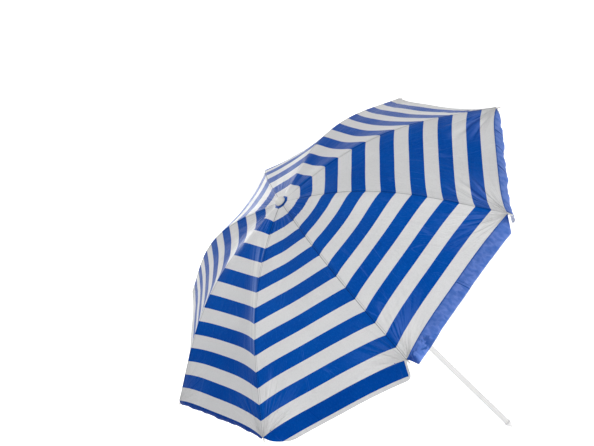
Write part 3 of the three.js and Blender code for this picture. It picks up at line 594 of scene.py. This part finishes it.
def stations():
    """Rows along the gore, with one on each stripe edge: (v, stripe index)."""
    vs, band = [HOLE_V], []
    for n, e in enumerate(EDGES):
        steps = 4 if n == 0 else (6 if n == 1 else 9)
        v0 = vs[-1]
        for q in range(1, steps + 1):
            vs.append(v0 + (e - v0) * q / steps)
            band.append(n)
    return np.array(vs), np.array(band)


THICK = 0.0006


def solid_sheet(top, cell, uv, normal, thick=THICK):
    """Closed thin solid from a grid of points (rows, cols, 3); cell gives each cell's material."""
    R, C, _ = top.shape
    n = np.cross(np.gradient(top, axis=0), np.gradient(top, axis=1))
    n /= np.linalg.norm(n, axis=2)[..., None] + 1e-12
    flip = (n[R // 2, C // 2] @ normal) < 0
    if flip:
        n = -n
    a, b = top + n * thick / 2, top - n * thick / 2
    verts = np.concatenate([a.reshape(-1, 3), b.reshape(-1, 3)])
    uvs = np.concatenate([uv.reshape(-1, uv.shape[-1])] * 2)
    N = R * C
    g = np.arange(N).reshape(R, C)
    p, q, r_, t = g[:-1, :-1].ravel(), g[1:, :-1].ravel(), g[1:, 1:].ravel(), g[:-1, 1:].ravel()
    up = np.stack([p, q, r_, t], 1)
    down = np.stack([p, t, r_, q], 1) + N
    m_ = cell.ravel()
    e0, e1 = g[0, :-1], g[0, 1:]
    top_w = np.stack([e0, e1, e1 + N, e0 + N], 1)
    e0, e1 = g[-1, 1:], g[-1, :-1]
    low_w = np.stack([e0, e1, e1 + N, e0 + N], 1)
    e0, e1 = g[1:, 0], g[:-1, 0]
    left_w = np.stack([e0, e1, e1 + N, e0 + N], 1)
    e0, e1 = g[:-1, -1], g[1:, -1]
    right_w = np.stack([e0, e1, e1 + N, e0 + N], 1)
    quads = np.concatenate([up, down, top_w, low_w, left_w, right_w])
    index = np.concatenate([m_, m_, cell[0], cell[-1], cell[:, 0], cell[:, -1]])
    if flip:
        quads = quads[:, ::-1]
    return verts, quads, index, uvs


FLAP = 0.0700              # height of the hanging flap
FLAP_BLUE = 0.0545
# each flap: its slope below the horizontal against the distance from the hem;
# then for each end (rib k+1, rib k+2) the slant of the side edge, the corner's
# radius and how far the end curls under; then the size of its waves
HANG = ((0, 0.02, 0.0545, 0.07), (68, 80, 86, 90))
FLAPS = {
    0: (((0, 0.03, 0.0545, 0.0655, 0.07), (46, 52, 58, 62, 62)), (0.58, 0.052, 24), (0.24, 0.024, 0), 0.3),
    1: (((0, 0.03, 0.052, 0.060, 0.07), (36, 48, 66, 140, 168)), (0.26, 0.024, 44), (0.80, 0.018, 6), 0.28),
    2: (((0, 0.02, 0.040, 0.054, 0.07), (66, 76, 92, 130, 160)), (0.20, 0.012, 8), (1.0, 0.024, 22), 0.8),
    3: (HANG, (0.5, 0.02, 10), (0.5, 0.02, 10), 0.8),
    4: (HANG, (0.5, 0.02, 10), (0.5, 0.02, 10), 0.8),
    5: (HANG, (0.5, 0.02, 10), (0.5, 0.02, 10), 0.8),
    6: (HANG, (0.5, 0.02, 10), (0.5, 0.02, 10), 0.8),
    7: (((0, 0.014, 0.026, 0.040, 0.07), (50, 60, 100, 130, 150)), (0.7, 0.03, 30), (1.2, 0.03, 30), 0.9),
}
GAP = 0.0012


def flap_grid(k, side):
    """Half flap of gore k, on the side of rib k+1 (side -1) or rib k+2 (side 1)."""
    (at, deg), *ends, wavy = FLAPS[k]
    slant, corner, curl = ends[0 if side < 0 else 1]
    ts = np.concatenate([[-0.005, -0.0025], np.linspace(0, FLAP_BLUE, 12), np.linspace(FLAP_BLUE, FLAP, 7)[1:]])
    half = rz(1.0)[0] * math.sin(HALF)
    mid = FIRST + HALF * (2 * k + 1)
    cols = 44
    band = np.array([0, 0.0040, 0.0085])
    C = cols + len(band)
    grid = np.zeros((len(ts), C, 3)); uv = np.zeros((len(ts), C, 2)); idx = np.zeros((len(ts) - 1, C - 1), int)
    tt = np.linspace(0, FLAP, 141)
    for i, t in enumerate(ts):
        tc = max(t, 0.0)
        over = max(tc - (FLAP - corner), 0.0)
        side_x = GAP + slant * tc + corner - math.sqrt(max(corner ** 2 - over ** 2, 0))
        x0 = side_x + band
        w = np.concatenate([x0, x0[-1] + (half - x0[-1]) * (np.arange(1, cols + 1) / cols) ** 1.12])
        u = side * (1 - w / half)
        p = gore_point(k, np.full_like(u, 1.0 + min(t, 0) / LINE), u)
        p[:, 2] -= 0.0010
        if t > 0:
            # slope down the flap, in radians, for each column: more at a curled end
            add = np.radians(curl) * np.exp(-(w / 0.085) ** 2)
            f = tt[tt <= tc + 1e-9]
            gg = np.radians(np.interp(f, at, deg))
            G = gg[:, None] + add[None, :] * smooth(f, 0, 0.03)[:, None]
            dt = np.gradient(f)[:, None] if len(f) > 1 else np.array([[tc]])
            o = (np.cos(G) * dt).sum(0) * (tc / dt.sum())
            d = (np.sin(G) * dt).sum(0) * (tc / dt.sum())
            lat = u * half
            grow = (tc / FLAP) ** 1.2
            wave = (0.0036 * np.sin(lat * 31 + PH[k, 16]) * AM[k, 16] + 0.0026 * np.sin(lat * 67 + PH[k, 17]) * AM[k, 17]
                    + 0.0016 * np.sin(lat * 128 + PH[k, 18] + 30 * tc) + 0.0010 * np.sin(lat * 211 + PH[k, 19] - 60 * tc)) * wavy
            wave = wave * grow * smooth(w, 0.0, 0.05)
            ga = G[-1]
            o = o + wave * np.sin(ga)
            d = d - wave * np.cos(ga)
            p = p + np.stack([o * math.cos(mid), o * math.sin(mid), -d], -1)
        grid[i] = p
        uv[i, :, 0] = 0.02 + w
        uv[i, :, 1] = HEM + t
        if i < len(ts) - 1:
            idx[i, :] = 1 if ts[i + 1] > FLAP_BLUE + 1e-6 else 0
            if k not in (1, 7) and not (k == 0 and side < 0):
                idx[i, :2] = 1
    return grid, idx, uv, np.array([math.cos(mid), math.sin(mid), 0.35])


def segment(n):
    """Cloth on rib n+1: half of the gore before it and half of the gore after it."""
    vs, band = stations()
    ss = s_of_v(vs)
    ss[-1] = 1.0
    halfs = rz(ss)[0] * math.sin(HALF)
    lat = np.array([lateral(h) for h in halfs])                   # rows x cols
    C = lat.shape[1]
    U = 1 - lat / halfs[:, None]
    S = np.repeat(ss[:, None], C, 1)
    prev = gore_point((n - 1) % 8, S, U)                           # rib n+1 is the far rib of the gore before
    nxt = gore_point(n, S, -U)
    grid = np.concatenate([prev[:, ::-1], nxt[:, 1:]], 1)
    uv = np.zeros((len(vs), 2 * C - 1, 4))
    uv[..., 0] = np.concatenate([-lat[:, ::-1], lat[:, 1:]], 1)
    uv[..., 1] = vs[:, None]
    uv[..., 2] = np.concatenate([np.full(C, (n - 1) % 8), np.full(C - 1, n)])[None] * 3.7
    uv[..., 3] = halfs[:, None] - np.abs(uv[..., 0])
    # felled seam: a low flat ridge beside the rib line
    x = uv[..., 0]
    ridge = 0.0010 * smooth(x, -0.0008, 0.0004) * (1 - smooth(x, 0.0066, 0.0076)) - 0.0008 * np.exp(-((x + 0.0003) / 0.0009) ** 2)
    grid[..., 2] += ridge * smooth(uv[..., 1], 0.03, 0.09)
    idx = np.repeat((band % 2)[:, None], 2 * C - 2, 1)
    parts = [solid_sheet(grid, idx, uv, np.array([0, 0, 1.0]))]
    for k, side in (((n - 1) % 8, 1), (n, -1)):
        g, ix, uvf, out = flap_grid(k, side)
        full = np.zeros(uvf.shape[:2] + (4,))
        full[..., :2] = uvf
        full[..., 2] = k * 3.7
        full[..., 3] = 2.0 + side * (rz(1.0)[0] * math.sin(HALF) - (full[..., 0] - 0.02))
        parts.append(solid_sheet(g, ix, full, out))
    base, V, Q, I, T = 0, [], [], [], []
    for v, q, m_, t in parts:
        V.append(v); Q.append(q + base); I.append(m_); T.append(t)
        base += len(v)
    return cloth_mesh(f"canopy_cloth_{n + 1}", np.concatenate(V), np.concatenate(Q), np.concatenate(I), np.concatenate(T), f"rib_{n + 1}")


def cloth_mesh(name, verts, quads, index, uv4, body):
    me = bpy.data.meshes.new(name)
    me.vertices.add(len(verts))
    me.vertices.foreach_set("co", verts.astype(np.float32).ravel())
    me.loops.add(quads.size)
    me.loops.foreach_set("vertex_index", quads.astype(np.int32).ravel())
    me.polygons.add(len(quads))
    me.polygons.foreach_set("loop_start", np.arange(len(quads), dtype=np.int32) * 4)
    me.materials.append(BLUE)
    me.materials.append(WHITE)
    me.polygons.foreach_set("material_index", index.astype(np.int32))
    me.polygons.foreach_set("use_smooth", np.ones(len(quads), bool))
    for title, cols in (("cloth", (0, 1)), ("gore", (2, 3))):
        layer = me.uv_layers.new(name=title)
        layer.data.foreach_set("uv", uv4[:, cols][quads.ravel()].astype(np.float32).ravel())
    me.update(calc_edges=True)
    me.validate()
    set_sharp(me, 60)
    ob = bpy.data.objects.new(name, me)
    scene.collection.objects.link(ob)
    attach(ob, body)
    return ob


# each segment's cloth: two half gores and two half flaps, in place of the CAD segment
for n in range(RIBS):
    ob = segment(n)
    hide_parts(f"canopy_segment_{n + 1}")
    az = FIRST + 2 * HALF * n
    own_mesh(ob)

# --------------------------------------------------------------- hard pieces
CAD_LOOK = {
    "white_plastic": PLASTIC, "grey_plastic": GREY, "white_steel": STEEL, "zinc_steel": ZINC,
}
slots = {sp["node"]: sp["material_slot"] for sp in frame["record"]["subparts"]}
for name, ob in frame["nodes"].items():
    if name.startswith("canopy_segment"):
        continue
    mat = CAD_LOOK.get(slots.get(name), PLASTIC)
    ob.data.materials.clear()
    ob.data.materials.append(mat)
    ob.data.polygons.foreach_set("use_smooth", np.ones(len(ob.data.polygons), bool))
    set_sharp(ob.data, 32)

# ------------------------------------------------------------ stage and light
floor_mat, nt, b = material("floor_white", (0.72, 0.72, 0.72), 0.95)
b.inputs["Emission Color"].default_value = (1, 1, 1, 1)
b.inputs["Emission Strength"].default_value = 0.97
bpy.ops.mesh.primitive_plane_add(size=400, location=(0, 0, -0.0005))
floor = bpy.context.object
floor.name = "floor"
floor.data.materials.append(floor_mat)

world = bpy.data.worlds.new("studio")
scene.world = world
world.use_nodes = True
wt = world.node_tree
back = wt.nodes["Background"]
tc = wt.nodes.new("ShaderNodeTexCoord")
sx = wt.nodes.new("ShaderNodeSeparateXYZ")
wt.links.new(tc.outputs["Generated"], sx.inputs[0])
# pale at the horizon, dimmer overhead
upward = math_node(wt, "ABSOLUTE", sx.outputs[2])
glow = math_node(wt, "MAXIMUM", ramp(wt, upward, 0.18, 0.42, 0.33, 0.08), ramp(wt, upward, 0.12, 0.16, 1.0, 0.0))
wt.links.new(glow, back.inputs[1])
back.inputs[0].default_value = (1, 1, 1, 1)


def area_light(name, at, look, size, power, color=(1, 1, 1), size_y=None):
    d = bpy.data.lights.new(name, "AREA")
    d.energy = power
    d.color = color
    d.shape = "RECTANGLE"
    d.size = size
    d.size_y = size_y or size
    o = bpy.data.objects.new(name, d)
    scene.collection.objects.link(o)
    o.location = at
    o.rotation_euler = (Vector(look) - Vector(at)).to_track_quat("-Z", "Y").to_euler()
    return o


CENTRE_OF = Vector((0, 0, 1.3))
for az, el, size, power in (
    (0, 15, 2.6, 20), (324, 15, 2.6, 42), (0, 45, 2.6, 16), (315, 45, 2.6, 56), (22, 70, 2.6, 8), (112, 70, 2.6, 55),
    (202, 70, 2.6, 68), (292, 70, 2.6, 33), (0, 89, 2.6, 22), (90, 74, 2.0, 8), (193, 65, 2.0, 7), (0, 48, 1.6, 10),
    (190, 45, 1.6, 6), (160, 40, 1.6, 3), (144, 6, 1.4, 60), (144, 22, 1.4, 24),
):
    a, e = math.radians(az), math.radians(el)
    area_light(f"soft_{az}_{el}", CENTRE_OF + 6.5 * Vector((math.cos(a) * math.cos(e), math.sin(a) * math.cos(e), math.sin(e))), CENTRE_OF, size, power)
fill = area_light("pole_fill", (1.5, -1.15, 0.5), (0, 0, 0.42), 0.9, 0.85)
fill.data.spread = math.radians(60)
scene.view_settings.view_transform = "Standard"
